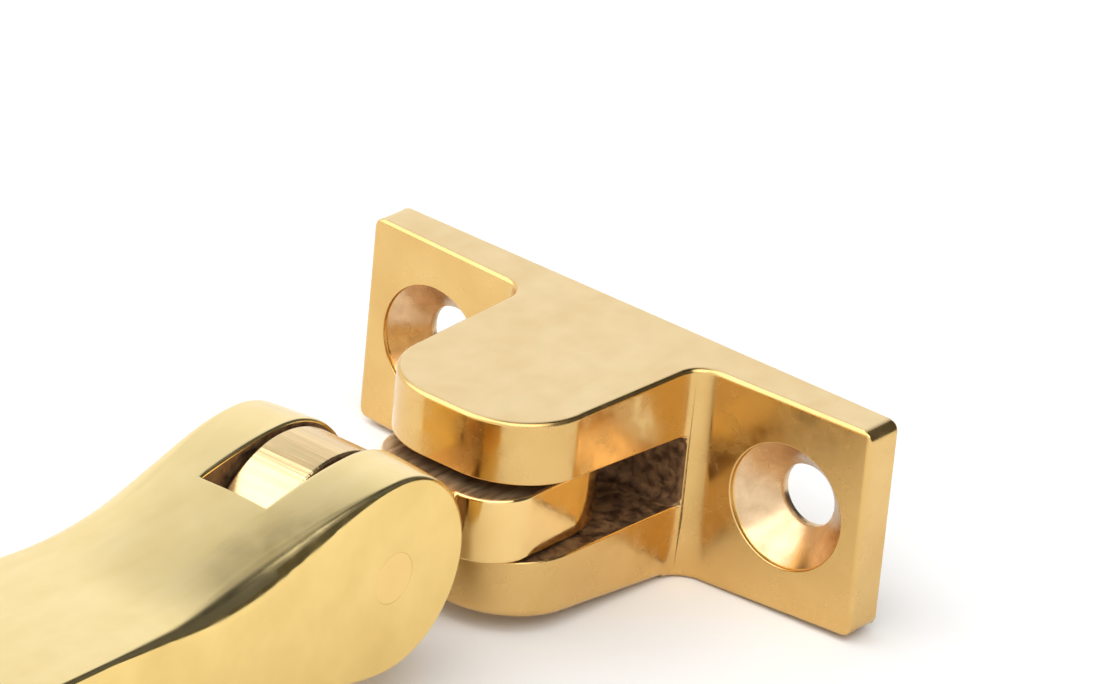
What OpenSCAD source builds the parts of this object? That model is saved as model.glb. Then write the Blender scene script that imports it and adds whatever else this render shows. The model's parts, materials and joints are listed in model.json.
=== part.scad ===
// Casement stay: clevis bracket, cross-axis knuckle and forked arm.
// Frame: X along the bracket plate, the arm runs towards -Y, Z up.
// Origin: centre of the plate's back face. Millimetres.

/* [Bracket plate] */
// Width of the plate
plate_w = 42.2; // [38:0.1:60]
// Height of the plate at its ends
plate_h = 15; // [14:0.1:20]
// How much deeper the plate's lower edge hangs in the middle
plate_sag = 0.4; // [0:0.1:0.6]
// Thickness of the plate beside the lugs
plate_t = 3.5; // [3.2:0.05:5]
// Thickness of the plate at its ends
plate_end_t = 2.9; // [2.5:0.05:3.2]
// Radius of the plate's corners
plate_corner_r = 0.9; // [0.2:0.1:2]

/* [Screw holes] */
// Distance between the two screw holes
screw_pitch = 30.2; // [28:0.1:46]
// Diameter of a screw hole
screw_d = 4.4; // [3:0.1:5]
// Diameter of the countersink
sink_d = 8.7; // [6:0.1:9]
// Depth of the straight lip above the countersink's cone
sink_lip = 0.5; // [0.1:0.1:0.8]

/* [Bracket lugs] */
// Thickness of each lug at the gap's floor, below the plate's top and above its foot
lug_t = 5; // [3:0.1:6]
// How far the lower lug's underside rises towards its front, above the plate's foot
lug_rise = 0.9; // [0:0.1:1.2]
// How far the lugs reach from the plate's back face
lug_reach = 20.5; // [19:0.1:26]
// Radius of a lug's two front corners
lug_corner_r = 5.5; // [3:0.1:6]
// Half the distance between the centres of those corners
lug_corner_x = 1.5; // [1:0.1:3]
// Angle by which each side of a lug spreads towards the plate
lug_flare = 2; // [0:0.5:4]
// Radius of the fillet between a lug and the plate
lug_fillet = 1.8; // [0.5:0.1:3]
// Metal left between the gap's floor and the plate's front face
web_t = 0.8; // [0.5:0.05:2]
// How far the gap's roof rises towards its front
gap_rise = 0.6; // [0:0.1:1]
// Radius in the corners of the gap's floor
gap_corner_r = 0.7; // [0.2:0.1:1]

/* [Pins] */
// Diameter of both pins
pin_d = 3.5; // [3:0.1:5]
// Radial clearance of a pin in the knuckle
pin_clearance = 0.04; // [0.02:0.01:0.08]
// Distance from the plate's back face to the bracket pin
bracket_pin_reach = 13.3; // [12.5:0.1:14]
// Metal left above the blind end of the bracket pin
pin_cover = 1.2; // [0.8:0.1:2]
// Distance from the bracket pin to the arm pin
knuckle_len = 19.8; // [19:0.1:24]
// Height of the arm pin above the middle of the bracket
arm_pin_z = 2.1; // [0:0.1:3]

/* [Knuckle] */
// Half the tongue's width, and the radius of its round end
tongue_r = 5.9; // [4:0.1:6]
// Gap between the tongue and each lug
tongue_gap = 0.2; // [0.1:0.05:0.4]
// Distance from the bracket pin to the tongue's shoulder
shoulder = 8.2; // [6:0.1:8.4]
// Radius of the shoulder's two corners
shoulder_r = 3.5; // [0.5:0.1:3.6]
// Radius of the eye
eye_r = 6.95; // [6:0.05:7]
// How far the eye's middle lies beyond the arm pin
eye_shift = 0.6; // [0:0.1:0.6]
// Width of the eye
eye_w = 4.6; // [4:0.1:5]

/* [Arm] */
// Overall length from the bracket pin to the tail
arm_len = 203; // [190:1:305]
// Width of the bar
arm_w = 14.2; // [12:0.1:18]
// Radius of the forked end about the arm pin
fork_r = 7.1; // [7.1:0.1:9]
// Width of the slot between the fork's cheeks
slot_w = 5.4; // [5:0.1:6]
// Distance from the arm pin to the slot's floor
slot_depth = 7.8; // [7.7:0.1:9]
// Height of the bar's top above the arm pin
bar_top = 3.9; // [3:0.1:5]
// Thickness of the bar
bar_t = 5.9; // [4:0.1:6]
// Length of the curved waist between the fork and the bar
waist_len = 21; // [16:0.5:30]
// Number of peg holes
peg_holes = 4; // [2:1:4]
// Diameter of a peg hole
peg_d = 8.5; // [6:0.1:9]
// Distance between peg holes
peg_pitch = 30; // [20:1:30]
// Distance from the arm pin to the first peg hole
peg_first = 44; // [40:1:50]

/* [Tail] */
// Width of the tail
tail_w = 16.6; // [14.2:0.1:20]
// Length over which the bar swells into the tail
tail_swell = 30; // [20:1:35]

/* [Hidden] */
$fn = 72;
clear = 1;                                     // overshoot of every cutter
brass_warm = [0.85, 0.66, 0.34];
brass_pale = [0.87, 0.78, 0.47];
gap_h = plate_h - 2 * lug_t;
sink_depth = sink_lip + (sink_d - screw_d) / 2;
arm_pin_reach = bracket_pin_reach + knuckle_len;
pin_top = plate_h / 2 - pin_cover;
pin_foot = lug_foot(bracket_pin_reach);
lug_corner_y = lug_corner_r - lug_reach;
lug_tangent = [lug_corner_x + lug_corner_r * cos(lug_flare), lug_corner_y + lug_corner_r * sin(lug_flare)];
lug_root_x = lug_tangent[0] - (lug_tangent[1] + plate_t) * tan(lug_flare);
wing_x = lug_root_x + lug_fillet;              // the plate thins outwards from here
wing_slope = (plate_t - plate_end_t) / (plate_w / 2 - wing_x);
screw_plate_t = plate_t - wing_slope * (screw_pitch / 2 - wing_x);
bar_mid_z = arm_pin_z + bar_top - bar_t / 2;
tail_r = (plate_h / 2 + plate_sag + arm_pin_z + bar_top) / 2;
tail_z = bar_top - tail_r;                     // tail centre, above the arm pin
arm_end = arm_len - knuckle_len;               // tail's tip, from the arm pin
tail_s = arm_end - tail_r;
curve_steps = 16;

function ease(t) = t * t * (3 - 2 * t);
function blend(a, b, t) = a + (b - a) * ease(t);
function curve(s0, s1, v0, v1) =
    [for (i = [0:curve_steps]) let (t = i / curve_steps) [s0 + (s1 - s0) * t, blend(v0, v1, t)]];
function arc(centre, r, a0, a1) =
    [for (i = [1:curve_steps - 1]) let (a = a0 + (a1 - a0) * i / curve_steps) centre + r * [cos(a), sin(a)]];
function backwards(list) = [for (i = [len(list) - 1:-1:0]) list[i]];

// Height of the lugs' underside at a distance from the plate's back face
function lug_foot(reach) =
    -plate_h / 2 - plate_sag + (plate_sag + lug_rise) * (reach - plate_t) / (lug_reach - plate_t);

module rounded_rect(w, h, r) {
    square([w - 2 * r, h], center = true);
    square([w, h - 2 * r], center = true);
    for (x = [-1, 1], y = [-1, 1]) translate([x * (w / 2 - r), y * (h / 2 - r)]) circle(r);
}

// Plate, thinner towards its ends and a little deeper in the middle
module plate() {
    flat_x = plate_w / 2 - plate_corner_r;
    intersection() {
        rotate([90, 0, 0]) linear_extrude(plate_t) {
            rounded_rect(plate_w, plate_h, plate_corner_r);
            polygon([[-flat_x, 0], [-flat_x, -plate_h / 2], [-wing_x, -plate_h / 2 - plate_sag],
                     [wing_x, -plate_h / 2 - plate_sag], [flat_x, -plate_h / 2], [flat_x, 0]]);
        }
        translate([0, 0, -plate_h]) linear_extrude(2 * plate_h)
            polygon([[-plate_w, clear], [-plate_w, -plate_end_t], [-plate_w / 2, -plate_end_t],
                     [-wing_x, -plate_t], [wing_x, -plate_t],
                     [plate_w / 2, -plate_end_t], [plate_w, -plate_end_t], [plate_w, clear]]);
    }
}

// Plan of both lugs: tapering sides, two round front corners and a fillet at each root
module lug_plan() {
    half = [[lug_corner_x, -lug_reach], [lug_corner_x, lug_corner_y], lug_tangent,
            [lug_root_x, -plate_t], [lug_root_x, -plate_t / 2]];
    polygon(concat(half, backwards([for (p = half) [-p[0], p[1]]])));
    for (side = [-1, 1]) {
        translate([side * lug_corner_x, lug_corner_y]) circle(lug_corner_r);
        difference() {
            translate([side * (wing_x - (lug_fillet + clear) / 2), -plate_t - lug_fillet / 2])
                square([lug_fillet + clear, lug_fillet], center = true);
            translate([side * wing_x, -plate_t - lug_fillet]) circle(lug_fillet);
        }
    }
}

// Side view of the lugs: level on top, rising underneath towards the front
module lug_side() {
    end = lug_reach + clear;
    polygon([[plate_t / 2, plate_h / 2], [end, plate_h / 2], [end, lug_foot(end)],
             [plate_t, lug_foot(plate_t)], [plate_t / 2, lug_foot(plate_t)]]);
}

// Gap between the lugs, with rounded corners along its floor and a roof that rises towards the front
module clevis_gap() {
    floor_y = plate_t + web_t;
    rotate([90, 0, -90]) linear_extrude(plate_w, center = true) {
        translate([floor_y + gap_corner_r, -gap_h / 2]) square([lug_reach, gap_h]);
        translate([floor_y, -gap_h / 2 + gap_corner_r]) square([lug_reach, gap_h - 2 * gap_corner_r]);
        for (side = [-1, 1])
            translate([floor_y + gap_corner_r, side * (gap_h / 2 - gap_corner_r)]) circle(gap_corner_r);
        polygon([[floor_y + gap_corner_r, 0], [floor_y + gap_corner_r, gap_h / 2],
                 [lug_reach + clear, gap_h / 2 + gap_rise], [lug_reach + clear, 0]]);
    }
}

module screw_hole() {
    rotate([90, 0, 0]) {
        translate([0, 0, -clear]) cylinder(h = plate_t + 2 * clear, d = screw_d);
        translate([0, 0, screw_plate_t - sink_depth])
            cylinder(h = sink_depth - sink_lip, d1 = screw_d, d2 = sink_d);
        translate([0, 0, screw_plate_t - sink_lip]) cylinder(h = sink_lip + clear, d = sink_d);
    }
}

module bracket_pin_shape(d) {
    translate([0, -bracket_pin_reach, pin_foot]) cylinder(h = pin_top - pin_foot, d = d);
}

module arm_pin_shape(d, length) {
    translate([0, -arm_pin_reach, arm_pin_z]) rotate([0, 90, 0]) cylinder(h = length, d = d, center = true);
}

module bracket() {
    color(brass_warm) difference() {
        union() {
            plate();
            intersection() {
                translate([0, 0, -plate_h]) linear_extrude(2 * plate_h) lug_plan();
                rotate([90, 0, -90]) linear_extrude(plate_w, center = true) lug_side();
            }
        }
        clevis_gap();
        for (side = [-1, 1]) translate([side * screw_pitch / 2, 0, 0]) screw_hole();
        bracket_pin_shape(pin_d);
        translate([0, -bracket_pin_reach, pin_foot - clear]) cylinder(h = 2 * clear, d = pin_d);
    }
}

module bracket_pin() {
    color(brass_warm) bracket_pin_shape(pin_d);
}

module knuckle() {
    tongue_h = gap_h - 2 * tongue_gap;
    color(brass_warm) difference() {
        union() {
            translate([0, -bracket_pin_reach, -tongue_h / 2]) linear_extrude(tongue_h) {
                circle(tongue_r);
                translate([-tongue_r, shoulder_r - shoulder]) square([2 * tongue_r, shoulder - shoulder_r]);
                translate([shoulder_r - tongue_r, -shoulder]) square([2 * (tongue_r - shoulder_r), shoulder]);
                for (side = [-1, 1])
                    translate([side * (tongue_r - shoulder_r), shoulder_r - shoulder]) circle(shoulder_r);
                translate([-eye_w / 2, -knuckle_len]) square([eye_w, knuckle_len]);
            }
            translate([0, -eye_shift, 0]) arm_pin_shape(2 * eye_r, eye_w);
        }
        translate([0, -bracket_pin_reach, -plate_h / 2])
            cylinder(h = plate_h, r = pin_d / 2 + pin_clearance);
        arm_pin_shape(pin_d + 2 * pin_clearance, 2 * eye_w);
    }
}

module arm_pin() {
    color(brass_pale) arm_pin_shape(pin_d, arm_w);
}

// Side view of the arm, measured from the arm pin: along it, and up
module arm_side() {
    polygon(concat(curve(0, waist_len, fork_r, bar_top), [[tail_s, bar_top]],
                   arc([tail_s, tail_z], tail_r, 90, -90),
                   curve(tail_s, tail_s - tail_swell, tail_z - tail_r, bar_top - bar_t),
                   backwards(curve(0, waist_len, -fork_r, bar_top - bar_t)),
                   arc([0, 0], fork_r, -90, -270)));
}

// Plan of the arm, measured from the arm pin: along it, and across
module arm_plan() {
    tail_c = arm_end - tail_w / 2;
    edge = concat([[-fork_r - clear, arm_w / 2]],
                  curve(tail_s - tail_swell, tail_c, arm_w / 2, tail_w / 2));
    polygon(concat(edge, arc([tail_c, 0], tail_w / 2, 90, -90),
                   backwards([for (p = edge) [p[0], -p[1]]])));
}

module arm() {
    color(brass_pale) difference() {
        translate([0, -arm_pin_reach, arm_pin_z]) intersection() {
            rotate([90, 0, -90]) linear_extrude(tail_w + 2 * clear, center = true) arm_side();
            translate([0, 0, -plate_h]) rotate([0, 0, -90]) linear_extrude(2 * plate_h) arm_plan();
        }
        translate([-slot_w / 2, -arm_pin_reach - slot_depth, -plate_h])
            cube([slot_w, slot_depth + fork_r + clear, 2 * plate_h]);
        arm_pin_shape(pin_d, arm_w + 2 * clear);
        for (i = [0:peg_holes - 1])
            translate([0, -arm_pin_reach - peg_first - i * peg_pitch, -plate_h])
                cylinder(h = 2 * plate_h, d = peg_d);
    }
}

bracket();
bracket_pin();
knuckle();
arm_pin();
arm();
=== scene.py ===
"""Casement stay in polished brass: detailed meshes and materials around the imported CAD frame."""
import json
import math

import bmesh
import bpy
from mathutils import Matrix, Vector


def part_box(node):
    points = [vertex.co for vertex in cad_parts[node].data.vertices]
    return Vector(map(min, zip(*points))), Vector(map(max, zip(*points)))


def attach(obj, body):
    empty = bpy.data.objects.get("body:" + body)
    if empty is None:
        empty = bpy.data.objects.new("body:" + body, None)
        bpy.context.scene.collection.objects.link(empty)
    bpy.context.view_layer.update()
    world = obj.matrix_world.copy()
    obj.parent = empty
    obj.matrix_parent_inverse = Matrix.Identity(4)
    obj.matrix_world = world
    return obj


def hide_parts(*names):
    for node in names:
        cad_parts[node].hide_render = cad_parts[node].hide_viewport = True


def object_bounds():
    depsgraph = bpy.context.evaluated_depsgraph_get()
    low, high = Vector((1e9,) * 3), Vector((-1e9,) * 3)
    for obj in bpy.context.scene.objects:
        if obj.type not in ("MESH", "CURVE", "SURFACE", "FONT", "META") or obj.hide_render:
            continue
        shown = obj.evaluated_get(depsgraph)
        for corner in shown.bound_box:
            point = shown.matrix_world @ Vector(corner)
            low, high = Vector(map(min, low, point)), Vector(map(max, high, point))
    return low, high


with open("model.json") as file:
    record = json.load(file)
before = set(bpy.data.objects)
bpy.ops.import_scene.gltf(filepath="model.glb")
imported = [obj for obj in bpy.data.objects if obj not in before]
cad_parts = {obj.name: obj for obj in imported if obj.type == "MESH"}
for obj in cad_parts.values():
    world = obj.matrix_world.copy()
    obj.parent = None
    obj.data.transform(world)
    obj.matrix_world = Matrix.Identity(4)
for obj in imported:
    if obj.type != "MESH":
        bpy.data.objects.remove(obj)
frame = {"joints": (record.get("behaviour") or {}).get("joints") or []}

CAD_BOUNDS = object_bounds()
MM = 0.001

# ---------------------------------------------------------------- sizes, in mm, from the frame
JOINTS = {joint["name"]: joint for joint in frame["joints"]}
BRACKET_PIN_Y = JOINTS["knuckle_swing"]["pos_m"][1] / MM
ARM_PIN_Y, ARM_PIN_Z = (JOINTS["arm_lift"]["pos_m"][i] / MM for i in (1, 2))


def box_mm(node):
    low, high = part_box(node)
    return low / MM, high / MM


BRACKET_LOW, BRACKET_HIGH = box_mm("bracket")
PLATE_W = 2 * BRACKET_HIGH.x
PLATE_TOP = BRACKET_HIGH.z
PLATE_SAG = -BRACKET_LOW.z - PLATE_TOP
LUG_REACH = -BRACKET_LOW.y
BRACKET_PIN_LOW, BRACKET_PIN_HIGH = box_mm("bracket_pin")
PIN_R = BRACKET_PIN_HIGH.x
KNUCKLE_LOW, KNUCKLE_HIGH = box_mm("knuckle")
TONGUE_R = KNUCKLE_HIGH.x
EYE_R = KNUCKLE_HIGH.z - ARM_PIN_Z
EYE_SHIFT = ARM_PIN_Y - KNUCKLE_LOW.y - EYE_R       # the eye's middle, beyond the arm pin
ARM_PIN_LOW, ARM_PIN_HIGH = box_mm("arm_pin")
ARM_HALF_W = ARM_PIN_HIGH.x
ARM_LOW, ARM_HIGH = box_mm("arm")
FORK_R = ARM_HIGH.z - ARM_PIN_Z
TAIL_HALF_W = ARM_HIGH.x
ARM_TIP = ARM_PIN_Y - ARM_LOW.y                # from the arm pin to the tip of the tail

# the rest repeats the driving dimensions of the CAD part, in mm
PLATE_T = 3.5
PLATE_END_T = 2.9
PLATE_CORNER_R = 0.9
SCREW_X = 15.1
SCREW_R = 2.2
SINK_R = 4.35
SINK_LIP = 0.5
LUG_T = 5.0
LUG_CORNER_R = 5.5
LUG_CORNER_X = 1.5
LUG_FLARE = math.radians(2)
LUG_FILLET = 1.8
WEB_T = 0.8
LUG_RISE = 0.9
GAP_RISE = 0.6
GAP_CORNER_R = 0.7
TONGUE_HALF_T = 2.3
SHOULDER = 8.2
SHOULDER_R = 3.5
EYE_HALF_W = 2.3
PIN_CLEARANCE = 0.04
SLOT_HALF_W = 2.7
SLOT_DEPTH = 7.8
BAR_TOP = 3.9
BAR_BOTTOM = -2.0
WAIST = 21.0
TAIL_SWELL = 30.0
PEG_R = 4.25
PEG_FIRST = 44.0
PEG_PITCH = 30.0
PEG_COUNT = 4
TAIL_R = (BAR_TOP + ARM_PIN_Z - ARM_LOW.z) / 2
TAIL_S = ARM_TIP - TAIL_R                      # from the arm pin to the middle of the tail's end
GAP_HALF = PLATE_TOP - LUG_T
LUG_CORNER_Y = LUG_CORNER_R - LUG_REACH
LUG_ROOT_X = LUG_CORNER_X + LUG_CORNER_R * math.cos(LUG_FLARE) - math.tan(LUG_FLARE) * (
    LUG_CORNER_Y + LUG_CORNER_R * math.sin(LUG_FLARE) + PLATE_T)

# looks only, in mm
CROWN = 0.3                                    # how far the arm's top falls from its middle to its edge
WAIST_CROWN = 0.55
ARM_EDGE_R = 0.4
WAIST_EDGE_R = 1.7                             # the top's edge in the middle of the waist
SLOT_EDGE_R = 0.22
BOTTOM_CROWN = 0.25
TAIL_EDGE_R = 5.6
NOSE_LEN = 8.0                                 # of the rounded tip
GAP_EDGE_R = 0.16
SINK_EDGE_R = 0.12
LUG_FOOT_EDGE_R = 0.9                          # under the lower lug
PLATE_FOOT_EDGE_R = 0.5
PLATE_BACK_EDGE_R = 0.2
BRACKET_EDGE_R = 0.38
KNUCKLE_EDGE_R = 0.22
PIN_EDGE_R = 0.02
NECK_LAP = 1.5                                 # how far the eye's neck runs into the tongue
NEAR = 0.01                                    # places no further apart count as one
# (growth of the radius, depth below the face) from inside a peg hole out over its mouth
PEG_MOUTH = [(0, 0.8), (0.06, 0.5), (0.2, 0.26), (0.45, 0.06), (1.2, -0.3)]

# how finely the arm's skin is divided, along its outline and across its width
FORK_STEPS, END_STEPS, WAIST_STEPS, BAR_STEPS, TAIL_STEPS, NOSE_STEPS = 12, 48, 20, 24, 24, 12
CROWN_STEPS, EDGE_STEPS, MIDDLE_STEPS = 10, 6, 6
LAST = CROWN_STEPS + EDGE_STEPS


# ---------------------------------------------------------------- camera
def camera_axes(azimuth, elevation, roll):
    """Right, up and back of a camera that looks at the object from azimuth and elevation."""
    az, el, ro = (math.radians(a) for a in (azimuth, elevation, roll))
    back = Vector((math.sin(az) * math.cos(el), -math.cos(az) * math.cos(el), math.sin(el)))
    right = Vector((math.cos(az), math.sin(az), 0))
    up = back.cross(right)
    return (math.cos(ro) * right + math.sin(ro) * up, math.cos(ro) * up - math.sin(ro) * right, back)


def make_camera(azimuth=37.2, elevation=26.1, roll=5.5, distance=532.3, target=(-7.6, 0.2, 2.2),
                lens=260.9):
    """Placed in mm. The lens is in mm too, on Blender's usual sensor."""
    right, up, back = camera_axes(azimuth, elevation, roll)
    camera = bpy.data.objects.new("camera", bpy.data.cameras.new("camera"))
    camera.matrix_world = Matrix.Translation((Vector(target) + distance * back) * MM) @ Matrix(
        (right, up, back)).transposed().to_4x4()
    camera.data.lens = lens
    camera.data.clip_start = 0.01
    bpy.context.scene.collection.objects.link(camera)
    bpy.context.scene.camera = camera


# ---------------------------------------------------------------- outlines and meshes, in mm
def ease(t):
    """A smooth step from 0 to 1 while t goes from 0 to 1."""
    t = min(max(t, 0), 1)
    return t * t * (3 - 2 * t)


def arc(centre, radius, start, end, steps, skip_ends=False):
    """Points on a circle, from one angle to another, in degrees."""
    indices = range(1, steps) if skip_ends else range(steps + 1)
    angles = [math.radians(start + (end - start) * i / steps) for i in indices]
    return [(centre[0] + radius * math.cos(a), centre[1] + radius * math.sin(a)) for a in angles]


def mesh_object(name, vertices, faces):
    mesh = bpy.data.meshes.new(name)
    mesh.from_pydata([Vector(v) * MM for v in vertices], [], faces)
    made = bmesh.new()
    made.from_mesh(mesh)
    bmesh.ops.recalc_face_normals(made, faces=made.faces)
    made.to_mesh(mesh)
    made.free()
    piece = bpy.data.objects.new(name, mesh)
    bpy.context.scene.collection.objects.link(piece)
    return piece


def prism(name, outline, low, high, place):
    """An outline given depth: place(a, b, depth) puts a point of it in space."""
    count = len(outline)
    vertices = [place(a, b, depth) for depth in (low, high) for a, b in outline]
    sides = [(i, (i + 1) % count, count + (i + 1) % count, count + i) for i in range(count)]
    return mesh_object(name, vertices, [tuple(range(count)), tuple(range(count, 2 * count)), *sides])


def lathe(name, profile, place, segments=64):
    """A closed turned shape: profile is (radius, depth) from end to end, place(a, b, depth) as above."""
    vertices, faces = [], []
    for radius, depth in profile:
        for i in range(segments):
            angle = 2 * math.pi * i / segments
            vertices.append(place(radius * math.cos(angle), radius * math.sin(angle), depth))
    for row in range(len(profile) - 1):
        for i in range(segments):
            j = (i + 1) % segments
            near, far = row * segments, (row + 1) * segments
            faces.append((near + i, near + j, far + j, far + i))
    last = (len(profile) - 1) * segments
    faces += [tuple(range(segments)), tuple(range(last, last + segments))]
    return mesh_object(name, vertices, faces)


def apply_modifiers(piece):
    evaluated = piece.evaluated_get(bpy.context.evaluated_depsgraph_get())
    mesh = bpy.data.meshes.new_from_object(evaluated)
    piece.modifiers.clear()
    piece.data = mesh


def combine(piece, other, operation):
    """Cuts other out of piece, or joins it on, and removes it."""
    boolean = piece.modifiers.new("boolean", "BOOLEAN")
    boolean.operation, boolean.solver, boolean.object = operation, "EXACT", other
    apply_modifiers(piece)
    bpy.data.objects.remove(other)


def clean(piece):
    """Joins doubled vertices and the flat faces that a boolean left split."""
    made = bmesh.new()
    made.from_mesh(piece.data)
    bmesh.ops.remove_doubles(made, verts=made.verts, dist=0.002 * MM)
    bmesh.ops.dissolve_limit(made, angle_limit=math.radians(0.2), verts=made.verts, edges=made.edges)
    made.to_mesh(piece.data)
    made.free()


def round_edges(piece, radius_of, segments=4):
    """Bevels each edge by radius_of(edge), in mm, where that isn't 0. The edge is in metres."""
    made = bmesh.new()
    made.from_mesh(piece.data)
    weights = made.edges.layers.float.new("bevel_weight_edge")
    radii = {edge: radius_of(edge) for edge in made.edges}
    widest = max(radii.values())
    for edge, radius in radii.items():
        edge[weights] = radius / widest
    made.to_mesh(piece.data)
    made.free()
    bevel = piece.modifiers.new("bevel", "BEVEL")
    bevel.limit_method, bevel.width, bevel.segments = "WEIGHT", widest * MM, segments
    bevel.use_clamp_overlap = False
    apply_modifiers(piece)


def finish_normals(piece, sharp=50):
    """Smooth shading that keeps flat faces flat and edges over the given angle sharp."""
    made = bmesh.new()
    made.from_mesh(piece.data)
    for face in made.faces:
        face.smooth = True
    for edge in made.edges:
        edge.smooth = len(edge.link_faces) == 2 and edge.calc_face_angle(0) < math.radians(sharp)
    made.to_mesh(piece.data)
    made.free()
    weighted = piece.modifiers.new("normals", "WEIGHTED_NORMAL")
    weighted.keep_sharp = True
    weighted.weight = 100
    apply_modifiers(piece)


def paint(piece, main, regions=()):
    """The main material, then each (material, test) of regions on the faces that test picks."""
    piece.data.materials.clear()
    piece.data.materials.append(main)
    for material, test in regions:
        piece.data.materials.append(material)
        slot = len(piece.data.materials) - 1
        for face in piece.data.polygons:
            if test(face.center / MM, face.normal):
                face.material_index = slot


def edge_middle(edge):
    return (edge.verts[0].co + edge.verts[1].co) / (2 * MM)


def is_sharp(edge, degrees=30):
    return len(edge.link_faces) == 2 and edge.calc_face_angle(0) > math.radians(degrees)


# how an outline's two coordinates and a depth lie in space
def in_plan(a, b, depth):
    return (a, b, depth)


def facing_front(a, b, depth):
    return (a, -depth, b)


def around_bracket_pin(a, b, depth):
    return (a, b + BRACKET_PIN_Y, depth)


def across_arm(s, v, x):
    """s runs along the arm from its pin, v up from it."""
    return (x, ARM_PIN_Y - s, ARM_PIN_Z + v)


# ---------------------------------------------------------------- bracket
def bracket_plan():
    """The T of plate and lugs seen from above, half of it mirrored."""
    half = [(PLATE_W / 2, 0), (PLATE_W / 2, -PLATE_T)]
    half += arc((LUG_ROOT_X + LUG_FILLET, -PLATE_T - LUG_FILLET), LUG_FILLET, 90, 180, 12)
    half += arc((LUG_CORNER_X, LUG_CORNER_Y), LUG_CORNER_R, math.degrees(LUG_FLARE), -90, 28)
    return half + [(-x, y) for x, y in reversed(half)]


def settle(point):
    """Moves a point of the level bracket: thinner wings, a hanging middle, rising lug faces."""
    x, y, z = point
    wing_x = LUG_ROOT_X + LUG_FILLET
    outward = min(max((abs(x) - wing_x) / (PLATE_W / 2 - wing_x), 0), 1)
    forward = max((-y - PLATE_T) / (LUG_REACH - PLATE_T), 0)
    if z < -GAP_HALF:
        foot = -PLATE_SAG * (1 - outward) + (PLATE_SAG + LUG_RISE) * forward
        z += foot * (-z - GAP_HALF) / LUG_T
    elif z >= GAP_HALF - GAP_CORNER_R:
        z += GAP_RISE * forward * min((PLATE_TOP - z) / LUG_T, 1)
    return x, y * (1 + (PLATE_END_T / PLATE_T - 1) * outward), z


def bracket_edge_radius(edge):
    if not is_sharp(edge):
        return 0
    middle = edge_middle(edge)
    along = (edge.verts[1].co - edge.verts[0].co).normalized()
    screw_distance = math.hypot(abs(middle.x) - SCREW_X, middle.z)
    if abs(middle.z) < GAP_HALF + NEAR and middle.y < -PLATE_T:
        at_corner = abs(abs(middle.z) - GAP_HALF) < NEAR and middle.y > -PLATE_T - WEB_T - NEAR
        return GAP_CORNER_R if at_corner and abs(along.x) > 0.9 else GAP_EDGE_R
    if screw_distance < SINK_R + NEAR:
        at_rim = screw_distance > SINK_R - NEAR and middle.y < -PLATE_T + NEAR
        return SINK_EDGE_R if at_rim else 0
    if abs(abs(middle.x) - PLATE_W / 2) < NEAR and abs(along.y) > 0.9:
        return PLATE_CORNER_R
    if middle.z < 0:
        return LUG_FOOT_EDGE_R if middle.y < -PLATE_T - LUG_FILLET else PLATE_FOOT_EDGE_R
    return PLATE_BACK_EDGE_R if middle.y > -NEAR else BRACKET_EDGE_R


def make_bracket():
    piece = prism("bracket_casting", bracket_plan(), -PLATE_TOP, PLATE_TOP, in_plan)
    gap_floor, gap_mouth = -PLATE_T - WEB_T, -2 * LUG_REACH
    gap = [(-PLATE_W, gap_floor), (PLATE_W, gap_floor), (PLATE_W, gap_mouth), (-PLATE_W, gap_mouth)]
    combine(piece, prism("gap", gap, -GAP_HALF, GAP_HALF, in_plan), "DIFFERENCE")
    cone_end = PLATE_T - SINK_LIP
    cone_start = cone_end - (SINK_R - SCREW_R)
    screw_hole = [(SCREW_R, -1), (SCREW_R, cone_start), (SINK_R, cone_end), (SINK_R, PLATE_T + 1)]
    for x in (-SCREW_X, SCREW_X):
        cutter = lathe("sink", screw_hole, lambda a, b, depth: facing_front(a + x, b, depth), 72)
        combine(piece, cutter, "DIFFERENCE")
    clean(piece)
    round_edges(piece, bracket_edge_radius)
    for vertex in piece.data.vertices:
        vertex.co = Vector(settle(vertex.co / MM)) * MM
    bore = [(PIN_R, BRACKET_PIN_LOW.z - 1), (PIN_R, BRACKET_PIN_HIGH.z)]
    combine(piece, lathe("bore", bore, around_bracket_pin), "DIFFERENCE")
    finish_normals(piece)
    return piece


# ---------------------------------------------------------------- knuckle
def knuckle_edge_radius(edge):
    return KNUCKLE_EDGE_R if is_sharp(edge, 40) else 0


def make_knuckle():
    corner_x, corner_y = TONGUE_R - SHOULDER_R, BRACKET_PIN_Y - SHOULDER + SHOULDER_R
    tongue = arc((0, BRACKET_PIN_Y), TONGUE_R, 0, 180, 40)
    tongue += arc((-corner_x, corner_y), SHOULDER_R, 180, 270, 16)
    tongue += arc((corner_x, corner_y), SHOULDER_R, 270, 360, 16)
    piece = prism("knuckle_casting", tongue, -TONGUE_HALF_T, TONGUE_HALF_T, in_plan)
    neck_start = EYE_SHIFT + BRACKET_PIN_Y - ARM_PIN_Y - SHOULDER + NECK_LAP
    low, high = -ARM_PIN_Z - TONGUE_HALF_T, -ARM_PIN_Z + TONGUE_HALF_T
    upper = 180 - math.degrees(math.asin(high / EYE_R))
    lower = -180 - math.degrees(math.asin(low / EYE_R))
    eye = [(-neck_start, high), *arc((0, 0), EYE_R, upper, lower, 96), (-neck_start, low)]
    combine(piece, prism("eye", eye, -EYE_HALF_W, EYE_HALF_W,
                         lambda s, v, x: across_arm(s + EYE_SHIFT, v, x)), "UNION")
    clean(piece)
    round_edges(piece, knuckle_edge_radius, 3)
    bore_r = PIN_R + PIN_CLEARANCE
    for end, place in ((2 * TONGUE_HALF_T, around_bracket_pin), (2 * EYE_HALF_W, across_arm)):
        combine(piece, lathe("bore", [(bore_r, -end), (bore_r, end)], place), "DIFFERENCE")
    finish_normals(piece)
    return piece


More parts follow.
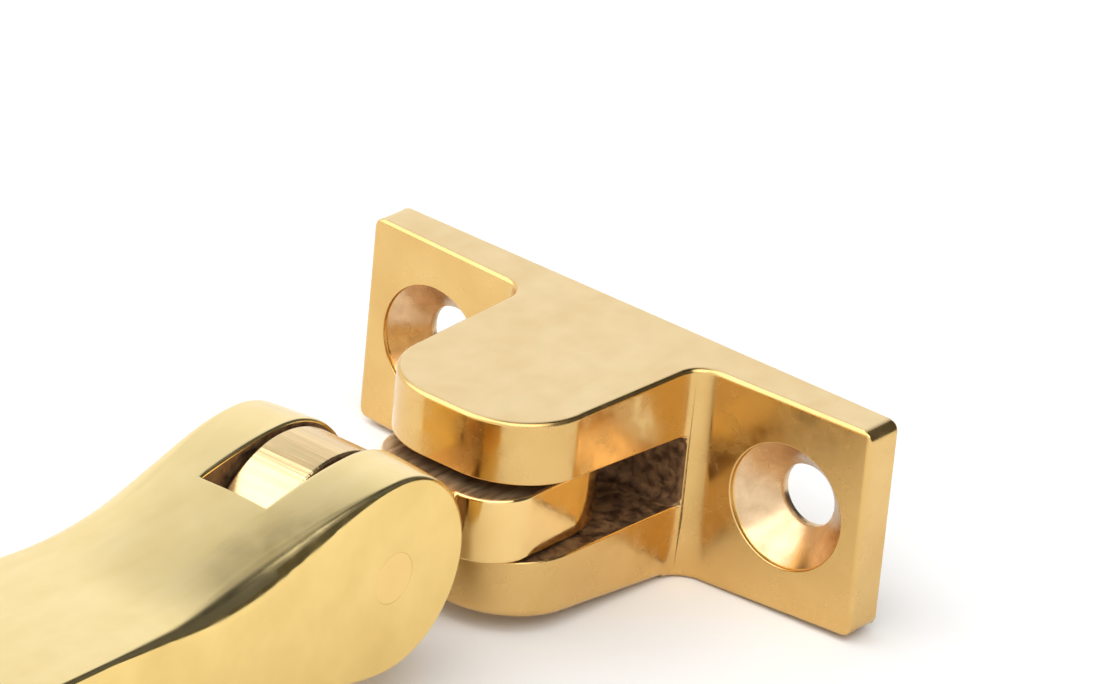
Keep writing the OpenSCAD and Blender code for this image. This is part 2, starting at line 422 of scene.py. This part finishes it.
# ---------------------------------------------------------------- arm
def top_of(s):
    """Height of the arm's crest over its pin, at s along it."""
    return FORK_R + (BAR_TOP - FORK_R) * ease(s / WAIST)


def tail_swell(s):
    return ease((s - TAIL_S + TAIL_SWELL) / TAIL_SWELL)


def bottom_of(s):
    if s < WAIST:
        return -FORK_R + (BAR_BOTTOM + FORK_R) * ease(s / WAIST)
    return BAR_BOTTOM + (BAR_TOP - 2 * TAIL_R - BAR_BOTTOM) * tail_swell(s)


def half_width(s):
    return ARM_HALF_W + (TAIL_HALF_W - ARM_HALF_W) * tail_swell(s)


def in_waist(level, waist_level, s):
    """A size that is level along the arm and waist_level in the middle of its waist."""
    reach = 0.6 * WAIST
    return level + (waist_level - level) * ease(1 - abs(s - reach) / reach)


def top_edge_radius(s):
    """Radius along the arm's upper edges: thin, but rolled over in the waist."""
    return in_waist(ARM_EDGE_R, WAIST_EDGE_R, s)


def columns(half_w, edge_r, crown):
    """(x, inset) from beside the slot to the arm's side: over the crowned face, then round the edge."""
    flat_w = half_w - edge_r
    inner = SLOT_HALF_W * half_w / ARM_HALF_W
    found = []
    for i in range(CROWN_STEPS + 1):
        x = inner + (flat_w - inner) * i / CROWN_STEPS
        found.append((x, crown * (x / flat_w) ** 2))
    for i in range(1, EDGE_STEPS + 1):
        angle = math.pi / 2 * i / EDGE_STEPS
        found.append((flat_w + edge_r * math.sin(angle), crown + edge_r * (1 - math.cos(angle))))
    return found


def middle_columns(half_w, edge_r, crown):
    """The same, between the two columns beside the slot, from -x to +x."""
    flat_w = half_w - edge_r
    inner = SLOT_HALF_W * half_w / ARM_HALF_W
    xs = [inner * (2 * i / MIDDLE_STEPS - 1) for i in range(1, MIDDLE_STEPS)]
    return [(x, crown * (x / flat_w) ** 2) for x in xs]


def fork_rows():
    """(point, outward normal, edge radius, crown) from the slot's floor round the fork's end."""
    rows = []
    steps = [SLOT_DEPTH * (1 - i / FORK_STEPS) for i in range(FORK_STEPS)]
    for s in steps:
        slope = (top_of(s + 0.01) - top_of(s - 0.01)) / 0.02
        rows.append(((s, top_of(s)), Vector((-slope, 1)).normalized(), top_edge_radius(s),
                     in_waist(CROWN, WAIST_CROWN, s)))
    for i in range(END_STEPS + 1):
        angle = math.radians(90 + 180 * i / END_STEPS)
        out = Vector((math.cos(angle), math.sin(angle)))
        rows.append((FORK_R * out, out, ARM_EDGE_R, CROWN + (BOTTOM_CROWN - CROWN) * i / END_STEPS))
    for s in reversed(steps):
        slope = (bottom_of(s + 0.01) - bottom_of(s - 0.01)) / 0.02
        rows.append(((s, bottom_of(s)), Vector((slope, -1)).normalized(), ARM_EDGE_R, BOTTOM_CROWN))
    return rows


def bar_sections():
    """(s, centre height, half height, half width, edge radii, scale) from the slot's floor to the tip."""
    nose_s = ARM_TIP - NOSE_LEN
    stations = [SLOT_DEPTH + (WAIST - SLOT_DEPTH) * i / WAIST_STEPS for i in range(1, WAIST_STEPS + 1)]
    stations += [WAIST + (TAIL_S - TAIL_SWELL - WAIST) * i / BAR_STEPS for i in range(1, BAR_STEPS)]
    stations += [TAIL_S - TAIL_SWELL + (nose_s - TAIL_S + TAIL_SWELL) * i / TAIL_STEPS
                 for i in range(TAIL_STEPS + 1)]
    sections = [(s, 1) for s in stations]
    for i in range(1, NOSE_STEPS + 1):
        angle = math.pi / 2 * i / NOSE_STEPS
        sections.append((nose_s + NOSE_LEN * math.sin(angle), math.cos(angle)))
    found = []
    for s, scale in sections:
        shape_s = min(s, nose_s)
        top, bottom, half_w = top_of(shape_s), bottom_of(shape_s), half_width(shape_s)
        swell = ease((shape_s - TAIL_S + TAIL_SWELL) / (nose_s - TAIL_S + TAIL_SWELL))
        tail_edge = (TAIL_EDGE_R - ARM_EDGE_R) * swell
        edge_radii = (top_edge_radius(s) + tail_edge, ARM_EDGE_R + tail_edge)
        found.append((s, (top + bottom) / 2, (top - bottom) / 2, half_w, edge_radii, scale))
    return found


def arm_skin():
    """Rows run along the fork's outline on either side of the slot, then rings run on to the tip."""
    vertices, faces, index = [], [], {}

    def put(key, s, v, x):
        index[key] = len(vertices)
        vertices.append(across_arm(s, v, x))

    rows = fork_rows()
    final_row = len(rows) - 1
    for side in (-1, 1):
        for j, (point, out, edge_r, crown) in enumerate(rows):
            for k, (x, inset) in enumerate(columns(ARM_HALF_W, edge_r, crown)):
                put((side, j, k), point[0] - inset * out[0], point[1] - inset * out[1], side * x)
        for j in range(final_row):
            for k in range(LAST):
                faces.append([index[side, j, k], index[side, j + 1, k],
                              index[side, j + 1, k + 1], index[side, j, k + 1]])
        for k in (0, LAST):
            faces.append([index[side, j, k] for j in range(final_row + 1)])

    # a ring runs over the top from +x to -x, then under the bottom from -x to +x
    def ring_keys(r):
        half = [(1, k) for k in range(LAST, -1, -1)] + [(0, k) for k in range(MIDDLE_STEPS - 2, -1, -1)]
        half += [(-1, k) for k in range(LAST + 1)]
        return [("top", r, *key) for key in half] + [("bottom", r, *key) for key in reversed(half)]

    def put_ring(r, s, centre, half_h, half_w, edge_radii, scale):
        top = ("top", scale, edge_radii[0], in_waist(CROWN, WAIST_CROWN, s))
        bottom = ("bottom", -scale, edge_radii[1], BOTTOM_CROWN)
        for face, upwards, edge_r, crown in (top, bottom):
            for side in (-1, 1):
                for k, (x, inset) in enumerate(columns(half_w, edge_r, crown)):
                    put((face, r, side, k), s, centre + upwards * (half_h - inset), side * scale * x)
            for k, (x, inset) in enumerate(middle_columns(half_w, edge_r, crown)):
                put((face, r, 0, k), s, centre + upwards * (half_h - inset), scale * x)

    for face, row in (("top", 0), ("bottom", final_row)):
        (s, v), out, edge_r, crown = rows[row]
        for side in (-1, 1):
            for k in range(LAST + 1):
                index[face, 0, side, k] = index[side, row, k]
        for k, (x, inset) in enumerate(middle_columns(ARM_HALF_W, edge_r, crown)):
            put((face, 0, 0, k), s - inset * out[0], v - inset * out[1], x)
    sections = bar_sections()
    for r, section in enumerate(sections, 1):
        put_ring(r, *section)
    for r in range(len(sections)):
        near = [index[key] for key in ring_keys(r)]
        far = [index[key] for key in ring_keys(r + 1)]
        for i in range(len(near)):
            j = (i + 1) % len(near)
            faces.append([near[i], near[j], far[j], far[i]])
    across = [(1, 0)] + [(0, k) for k in range(MIDDLE_STEPS - 2, -1, -1)] + [(-1, 0)]
    slot_floor = [index["top", 0, side, k] for side, k in across]
    slot_floor += [index["bottom", 0, side, k] for side, k in reversed(across)]
    faces.append(slot_floor)
    return mesh_object("arm_casting", vertices, faces)


def slot_edge_radius(edge):
    return SLOT_EDGE_R if is_sharp(edge, 60) else 0


def peg_cutter(s):
    """A hole with eased mouths, through the bar at s."""
    profile = [(PEG_R + growth, BAR_BOTTOM + depth) for growth, depth in reversed(PEG_MOUTH)]
    profile += [(PEG_R + growth, BAR_TOP - depth) for growth, depth in PEG_MOUTH]
    return lathe("peg", profile, lambda a, b, depth: across_arm(s + a, depth, b), 72)


def make_arm():
    piece = arm_skin()
    clean(piece)
    round_edges(piece, slot_edge_radius, 3)
    for i in range(PEG_COUNT):
        combine(piece, peg_cutter(PEG_FIRST + i * PEG_PITCH), "DIFFERENCE")
    bore = [(PIN_R, -2 * ARM_HALF_W), (PIN_R, 2 * ARM_HALF_W)]
    combine(piece, lathe("bore", bore, across_arm), "DIFFERENCE")
    finish_normals(piece)
    return piece


# ---------------------------------------------------------------- pins
def make_pin(name, low, high, place):
    end_r = PIN_R - PIN_EDGE_R
    profile = [(end_r, low), (PIN_R, low + PIN_EDGE_R), (PIN_R, high - PIN_EDGE_R), (end_r, high)]
    piece = lathe(name, profile, place)
    finish_normals(piece, 80)
    return piece


# ---------------------------------------------------------------- materials
class Nodes:
    """A material's node tree, with one short call a node."""

    def __init__(self, name):
        self.material = bpy.data.materials.new(name)
        self.material.use_nodes = True
        self.tree = self.material.node_tree
        self.shader = self.tree.nodes["Principled BSDF"]
        self.place = self.add("ShaderNodeTexCoord").outputs["Object"]

    def add(self, kind, inputs=(), **settings):
        node = self.tree.nodes.new(kind)
        for key, value in settings.items():
            setattr(node, key, value)
        for key, value in dict(inputs).items():
            self.feed(node.inputs[key], value)
        return node

    def feed(self, socket, value):
        if isinstance(value, bpy.types.NodeSocket):
            self.tree.links.new(value, socket)
        else:
            socket.default_value = value

    def stretched(self, per_mm):
        """Object coordinates with that many texture units per mm along X, Y and Z."""
        scale = [1000 * value for value in per_mm]
        return self.add("ShaderNodeMapping", {"Vector": self.place, "Scale": scale}).outputs["Vector"]

    def noise(self, per_mm, detail=3.0, distortion=0.0):
        inputs = {"Vector": self.stretched(per_mm), "Scale": 1.0, "Detail": detail, "Distortion": distortion}
        return self.add("ShaderNodeTexNoise", inputs).outputs["Fac"]

    def between(self, factor, low, high, start=0.35, end=0.65):
        """low to high, while factor goes from start to end."""
        inputs = {"Value": factor, "From Min": start, "From Max": end, "To Min": low, "To Max": high}
        return self.add("ShaderNodeMapRange", inputs).outputs["Result"]

    def mix(self, factor, first, second):
        node = self.add("ShaderNodeMix", data_type="RGBA")
        self.feed(node.inputs[0], factor)
        self.feed(node.inputs[6], (*first, 1) if isinstance(first, tuple) else first)
        self.feed(node.inputs[7], (*second, 1) if isinstance(second, tuple) else second)
        return node.outputs[2]

    def bump(self, height, depth_mm, below=None):
        inputs = {"Height": height, "Distance": depth_mm * MM, "Strength": 1.0}
        if below is not None:
            inputs["Normal"] = below
        return self.add("ShaderNodeBump", inputs).outputs["Normal"]


def brass(name, bright, dull, roughness, wave, scratches, grain=(0.25, 0.25, 0.25)):
    """Polished cast brass: patches of tint (grain per mm), uneven gloss, a hand-polished wave (mm deep)
    and fine scratches (per mm, mm deep)."""
    nodes = Nodes(name)
    patches = nodes.between(nodes.noise(grain, 3.0, 0.3), 0.0, 1.0, 0.25, 0.75)
    nodes.feed(nodes.shader.inputs["Base Color"], nodes.mix(patches, bright, dull))
    nodes.shader.inputs["Metallic"].default_value = 1.0
    gloss = nodes.between(nodes.noise((0.7, 0.7, 0.7), 2.0), *roughness)
    nodes.feed(nodes.shader.inputs["Roughness"], gloss)
    waves = nodes.bump(nodes.noise((0.16, 0.16, 0.16), 1.0), wave)
    fine = nodes.bump(nodes.noise(scratches[0], 2.0), scratches[1], waves)
    nodes.feed(nodes.shader.inputs["Normal"], fine)
    return nodes.material


def rough_brass(name, bright, dull, roughness, pits, depth):
    """Brass as cast or as sawn: dull, pitted or streaked, and darker in its low spots."""
    nodes = Nodes(name)
    marks = nodes.noise(pits, 6.0, 0.4)
    patches = nodes.between(marks, 0.0, 1.0, 0.3, 0.7)
    nodes.feed(nodes.shader.inputs["Base Color"], nodes.mix(patches, dull, bright))
    nodes.shader.inputs["Metallic"].default_value = 0.85
    nodes.feed(nodes.shader.inputs["Roughness"], nodes.between(marks, *roughness))
    nodes.feed(nodes.shader.inputs["Normal"], nodes.bump(marks, depth))
    return nodes.material


BRACKET_BRASS = brass("bracket_brass", (0.74, 0.49, 0.19), (0.66, 0.42, 0.15), (0.15, 0.29), 0.05,
                      ((4.0, 0.5, 2.0), 0.0015))
# The bracket's top faces: a rougher ground grain, which is their real finish, and a paler, less yellow tint,
# which is painted highlight.
GROUND_BRASS_PAINTED_HIGHLIGHT = brass("ground_brass_painted_highlight", (0.82, 0.64, 0.35), (0.78, 0.58, 0.29), (0.30, 0.38), 0.01,
                     ((3.0, 0.5, 3.0), 0.004), (0.5, 0.2, 0.5))
SINK_BRASS = brass("sink_brass", (0.80, 0.58, 0.36), (0.60, 0.41, 0.23), (0.24, 0.34), 0.01,
                   ((3.0, 3.0, 3.0), 0.004), (0.8, 0.8, 0.8))
ARM_BRASS = brass("arm_brass", (0.90, 0.66, 0.25), (0.80, 0.57, 0.20), (0.14, 0.26), 0.04,
                  ((3.0, 0.6, 3.0), 0.002))
# The arm's upward-facing top: lengthwise streaks and a duller gloss as its real finish, and a paler tint
# than the sides, which is painted highlight.
ARM_TOP_BRASS_PAINTED_HIGHLIGHT = brass("arm_top_brass_painted_highlight", (0.89, 0.72, 0.37), (0.84, 0.66, 0.30), (0.23, 0.27), 0.02,
                      ((3.0, 0.4, 3.0), 0.003), (0.5, 0.15, 0.5))
KNUCKLE_BRASS = brass("knuckle_brass", (0.90, 0.64, 0.28), (0.84, 0.57, 0.22), (0.08, 0.14), 0.02,
                      ((0.4, 3.0, 3.0), 0.003))
EYE_BRASS = brass("eye_brass", (0.88, 0.69, 0.38), (0.70, 0.49, 0.24), (0.18, 0.26), 0.02,
                  ((0.1, 4.0, 4.0), 0.03), (0.06, 1.5, 1.5))
PIN_BRASS = brass("pin_brass", (0.90, 0.64, 0.25), (0.86, 0.60, 0.22), (0.14, 0.24), 0.01,
                  ((3.0, 3.0, 3.0), 0.002))
# Rough cast brass with a very dark brown tint, for the gap between the lugs, the arm's slot and the eye's
# sides: the roughness is the real finish, the darkness is painted shade between the parts.
CAST_BRASS_PAINTED_SHADE = rough_brass("cast_brass_painted_shade", (0.42, 0.25, 0.12), (0.13, 0.075, 0.045), (0.45, 0.75),
                         (1.4, 1.4, 1.4), 0.12)
SAWN_BRASS = rough_brass("sawn_brass", (0.72, 0.50, 0.28), (0.42, 0.27, 0.14), (0.28, 0.5),
                         (2.2, 0.35, 1.0), 0.06)


# where each finish goes, painted highlight and painted shade too: the middle of a face, in mm, and its
# normal
# The bracket's upward-facing top, which gets the painted-highlight tint.
def on_bracket_top(centre, normal):
    return normal.z > 0.95 and centre.z > PLATE_TOP - 0.1


def in_sink(centre, normal):
    distance = math.hypot(abs(centre.x) - SCREW_X, centre.z)
    return distance < SINK_R - 0.05 and 0.05 < -centre.y < PLATE_T - 0.05 and abs(normal.y) < 0.99


# The arm's upward-facing faces, which get the painted-highlight tint.
def on_arm_top(centre, normal):
    return normal.z > 0.6 and ARM_PIN_Y - centre.y > -0.5 * FORK_R


# The slot's walls and floor, which get the painted shade.
def in_slot(centre, normal):
    inside = abs(centre.x) < SLOT_HALF_W + NEAR and centre.y > ARM_PIN_Y - SLOT_DEPTH - NEAR
    return inside and (abs(normal.x) > 0.9 or normal.y > 0.9)


def on_eye(centre, normal):
    return abs(centre.x) < EYE_HALF_W - 0.05 and centre.y < ARM_PIN_Y + EYE_R


# The eye's sides, inside the fork, which get the painted shade.
def on_eye_side(centre, normal):
    return abs(normal.x) > 0.9 and centre.y < ARM_PIN_Y + EYE_R


def in_gap(centre, normal):
    """The gap's roof, floor and back wall, with its rounded corners, which get the painted shade."""
    height, gap_floor = abs(centre.z), -PLATE_T - WEB_T
    if centre.y > gap_floor + NEAR:
        return False
    faces_inwards = normal.z * centre.z < 0 and abs(normal.z) > 0.9
    flat = faces_inwards and GAP_HALF - 0.1 < height < GAP_HALF + GAP_RISE + 0.1
    back = normal.y < -0.95 or normal.y < -0.2 and abs(normal.z) > 0.15
    return flat or back and height < GAP_HALF and centre.y > gap_floor - GAP_CORNER_R


def on_tongue_face(centre, normal):
    clear_of_eye = centre.y > ARM_PIN_Y + EYE_R - 1.5
    return clear_of_eye and abs(normal.z) > 0.7 and abs(abs(centre.z) - TONGUE_HALF_T) < 0.05


# ---------------------------------------------------------------- floor and light
def make_floor():
    level = CAD_BOUNDS[0].z
    half = 1.5
    mesh = bpy.data.meshes.new("floor")
    corners = [(-half, -half, level), (half, -half, level), (half, half, level), (-half, half, level)]
    mesh.from_pydata(corners, [], [(0, 1, 2, 3)])
    floor = bpy.data.objects.new("floor", mesh)
    bpy.context.scene.collection.objects.link(floor)
    paper = Nodes("floor_paper")
    paper.shader.inputs["Base Color"].default_value = (0.9, 0.9, 0.895, 1)
    paper.shader.inputs["Roughness"].default_value = 0.9
    paper.shader.inputs["Specular IOR Level"].default_value = 0.1
    mesh.materials.append(paper.material)


def softbox(name, azimuth, elevation, distance, size, power):
    """A square area light that faces the object. Azimuth 0 is at -Y, 90 at +X, as for the camera."""
    _, _, back = camera_axes(azimuth, elevation, 0)
    light = bpy.data.objects.new(name, bpy.data.lights.new(name, "AREA"))
    light.data.shape, light.data.size, light.data.energy = "SQUARE", size, power
    light.location = back * distance
    light.rotation_euler = back.to_track_quat("Z", "Y").to_euler()
    bpy.context.scene.collection.objects.link(light)


def make_world(base, glows, darkest=0.02, white=1.05):
    """A bright room that is white to the camera. Each of glows is (azimuth, elevation, half angle,
    strength): a soft patch of the room's light, or of the dark where the strength is below 0."""
    world = bpy.data.worlds.new("studio")
    bpy.context.scene.world = world
    world.use_nodes = True
    tree = world.node_tree
    background = tree.nodes["Background"]
    direction = tree.nodes.new("ShaderNodeTexCoord").outputs["Generated"]

    def join(kind, operation, *inputs):
        node = tree.nodes.new(kind)
        node.operation = operation
        for socket, value in zip(node.inputs, inputs):
            if isinstance(value, bpy.types.NodeSocket):
                tree.links.new(value, socket)
            else:
                socket.default_value = value
        return node.outputs["Value"]

    total = base
    for azimuth, elevation, half_angle, strength in glows:
        _, _, towards = camera_axes(azimuth, elevation, 0)
        facing = join("ShaderNodeVectorMath", "DOT_PRODUCT", direction, towards)
        glow = tree.nodes.new("ShaderNodeMapRange")
        glow.interpolation_type = "SMOOTHSTEP"
        tree.links.new(facing, glow.inputs["Value"])
        glow.inputs["From Min"].default_value = math.cos(math.radians(half_angle))
        glow.inputs["From Max"].default_value = math.cos(math.radians(half_angle * 0.55))
        glow.inputs["To Max"].default_value = strength
        total = join("ShaderNodeMath", "ADD", glow.outputs["Result"], total)
    total = join("ShaderNodeMath", "MAXIMUM", total, darkest)
    rays = tree.nodes.new("ShaderNodeLightPath").outputs["Is Camera Ray"]
    total = join("ShaderNodeMath", "MAXIMUM", total, join("ShaderNodeMath", "MULTIPLY", rays, white))
    tree.links.new(total, background.inputs["Strength"])
    background.inputs["Color"].default_value = (1, 1, 1, 1)


# ---------------------------------------------------------------- the scene
def hand_over(piece, body, slot, *nodes):
    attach(piece, body)
    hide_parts(*nodes)


make_camera()
bracket = make_bracket()
paint(bracket, BRACKET_BRASS,
      [(GROUND_BRASS_PAINTED_HIGHLIGHT, on_bracket_top), (SINK_BRASS, in_sink), (CAST_BRASS_PAINTED_SHADE, in_gap)])
hand_over(bracket, "bracket", "bracket_brass", "bracket")
knuckle = make_knuckle()
paint(knuckle, KNUCKLE_BRASS,
      [(EYE_BRASS, on_eye), (SAWN_BRASS, on_tongue_face), (CAST_BRASS_PAINTED_SHADE, on_eye_side)])
hand_over(knuckle, "knuckle", "knuckle_brass", "knuckle")
arm = make_arm()
paint(arm, ARM_BRASS, [(ARM_TOP_BRASS_PAINTED_HIGHLIGHT, on_arm_top), (CAST_BRASS_PAINTED_SHADE, in_slot)])
hand_over(arm, "arm", "arm_brass", "arm")
bracket_pin = make_pin("bracket_rivet", BRACKET_PIN_LOW.z, BRACKET_PIN_HIGH.z, around_bracket_pin)
paint(bracket_pin, PIN_BRASS)
hand_over(bracket_pin, "bracket", "pin_brass", "bracket_pin")
arm_pin = make_pin("arm_rivet", ARM_PIN_LOW.x, ARM_PIN_HIGH.x, across_arm)
paint(arm_pin, PIN_BRASS)
hand_over(arm_pin, "arm", "pin_brass", "arm_pin")

make_floor()
make_world(1.15, [(136, 26, 60, -1.05), (180, 74, 32, -0.6), (-120, 52, 25, -0.3)])
softbox("key", -51, 50, 0.8, 0.9, 3.4)
softbox("front", 60, 58, 0.8, 0.7, 2.6)
bpy.context.scene.view_settings.view_transform = "Standard"
